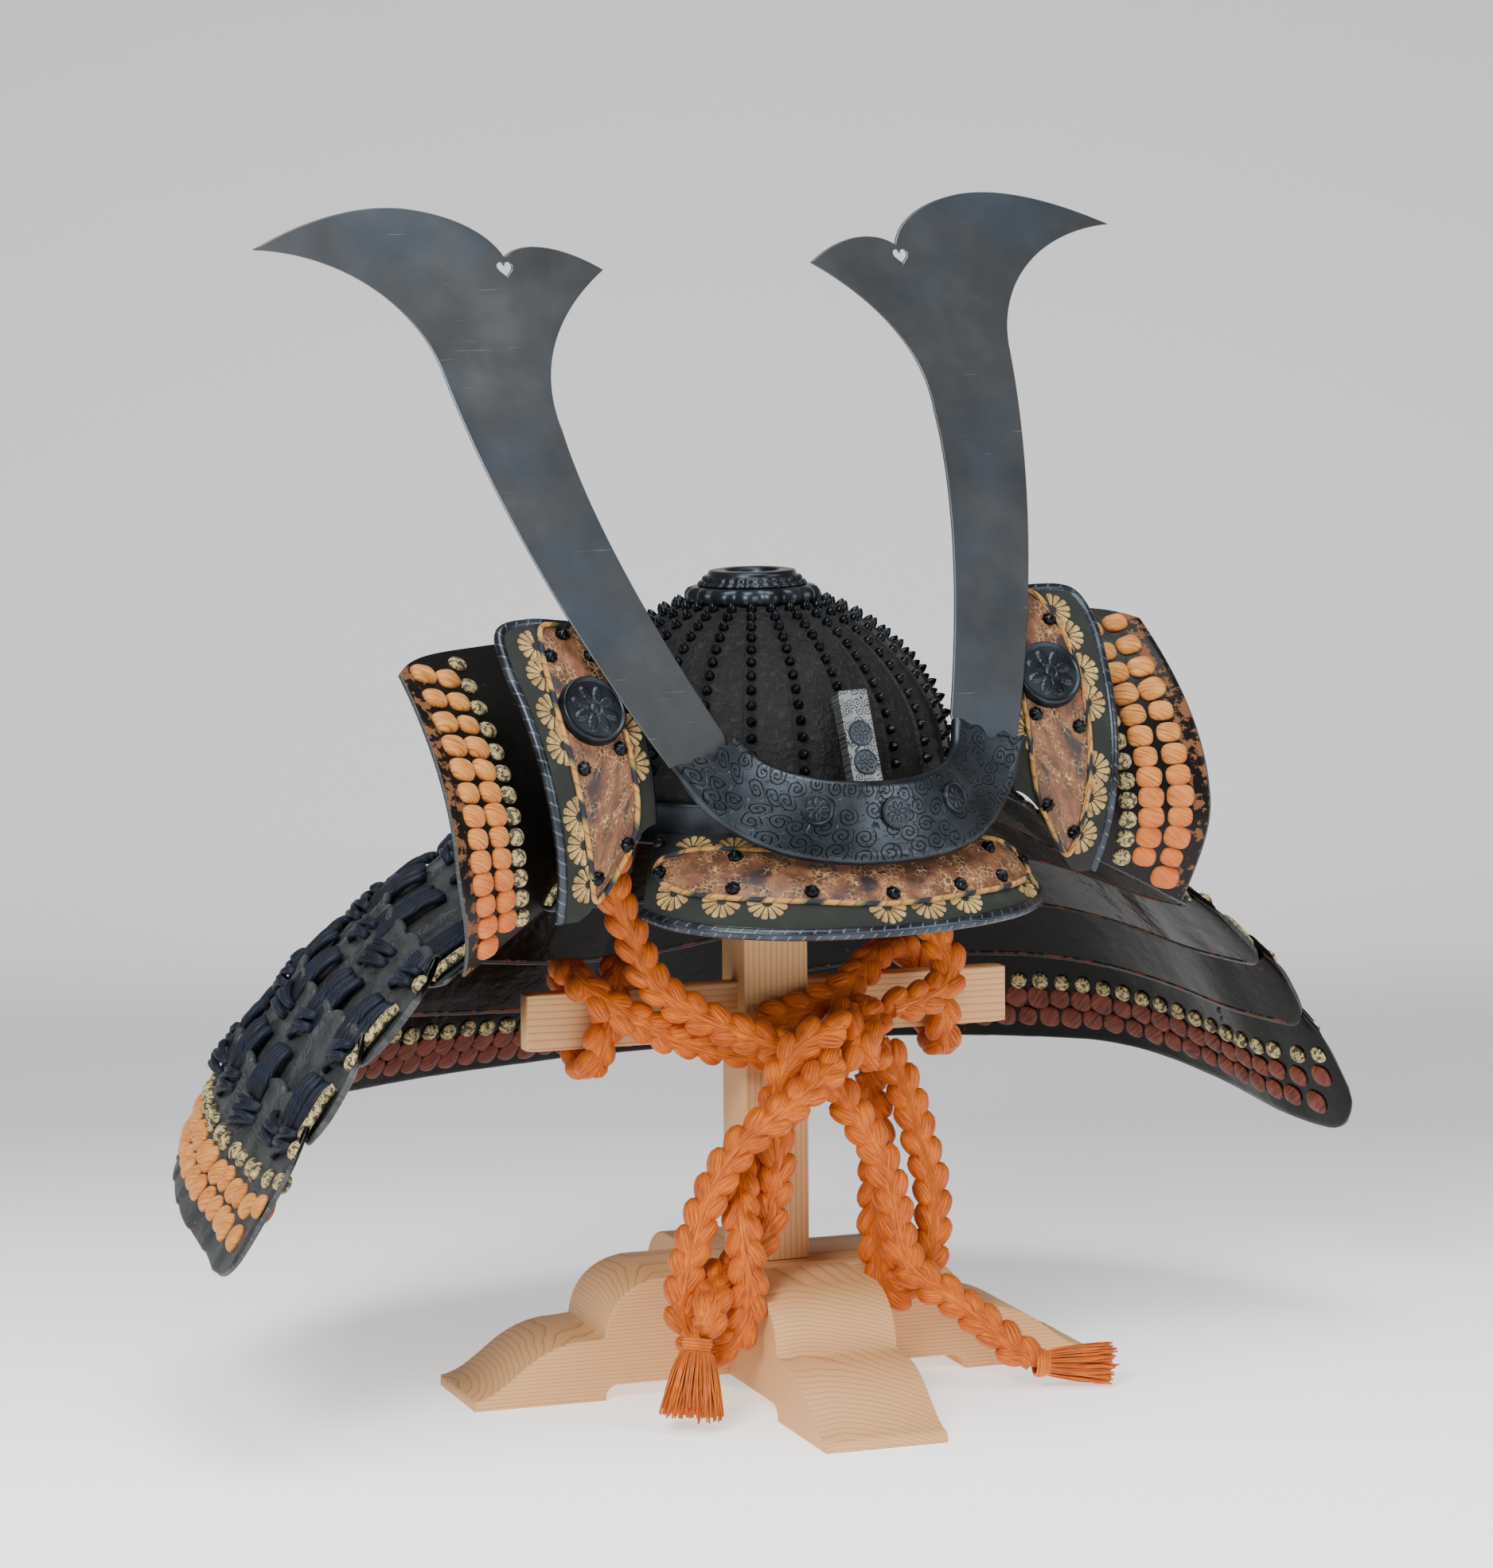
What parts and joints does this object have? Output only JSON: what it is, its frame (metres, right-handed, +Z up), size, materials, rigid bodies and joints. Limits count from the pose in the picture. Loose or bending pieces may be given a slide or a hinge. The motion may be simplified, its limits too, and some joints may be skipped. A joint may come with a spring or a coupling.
{
  "type": "kabuto samurai helmet on a wooden stand",
  "caption": "Ribbed and riveted iron samurai helmet with wide horns, visor, turnbacks and flared neck guard, on a plain wooden cross-foot stand, its orange chin cord tied in a bow.",
  "frame": {"origin": "middle of the box round the helmet and stand, without the cord and its knot and tassels, at the height of the stand's feet", "axes": "+Z up; the helmet's front faces -Y and its left as seen from the front is -X; the stand's beams are turned a little clockwise seen from above"},
  "size_m": [0.7398, 0.4702, 0.6847],
  "materials": {
    "cedar_wood": "planed, bare",
    "orange_silk": "braided",
    "russet_iron": "lacquered, rough",
    "black_iron": "satin",
    "engraved_iron": "satin",
    "blued_steel": "satin",
    "stencilled_leather": "printed, semi-gloss",
    "black_lacquer": "lacquered, gloss"
  },
  "bodies": {
    "root": {"base_beam_side": "cedar_wood", "base_beam_front": "cedar_wood", "post": "cedar_wood", "crossbar": "cedar_wood", "head_rest": "cedar_wood", "chin_cord_left": "orange_silk", "chin_cord_right": "orange_silk", "cord_wrap_left": "orange_silk", "cord_wrap_right": "orange_silk", "bow_loop_left": "orange_silk", "bow_loop_right": "orange_silk", "cord_end_left": "orange_silk", "cord_end_right": "orange_silk", "cord_knot": "orange_silk", "tassel_left": "orange_silk", "tassel_right": "orange_silk", "bowl": "russet_iron", "bowl_band": "russet_iron", "visor_rim": "black_iron", "turnback_rim_left": "black_iron", "turnback_rim_right": "black_iron", "base_disc_left": "black_iron", "base_disc_middle": "black_iron", "base_disc_right": "black_iron", "turnback_disc_left": "black_iron", "turnback_disc_right": "black_iron", "crown_base": "engraved_iron", "crown_ring": "engraved_iron", "horn_base": "engraved_iron", "crest_holder": "engraved_iron", "horn_left": "blued_steel", "horn_right": "blued_steel", "visor": "stencilled_leather", "turnback_left": "stencilled_leather", "turnback_right": "stencilled_leather", "neck_lame_1": "black_lacquer", "neck_lame_2": "black_lacquer", "neck_lame_3": "black_lacquer", "neck_lame_4": "black_lacquer", "neck_lame_5": "black_lacquer", "rear_turnback_left": "black_lacquer", "rear_turnback_right": "black_lacquer"}
  },
  "joints": []
}
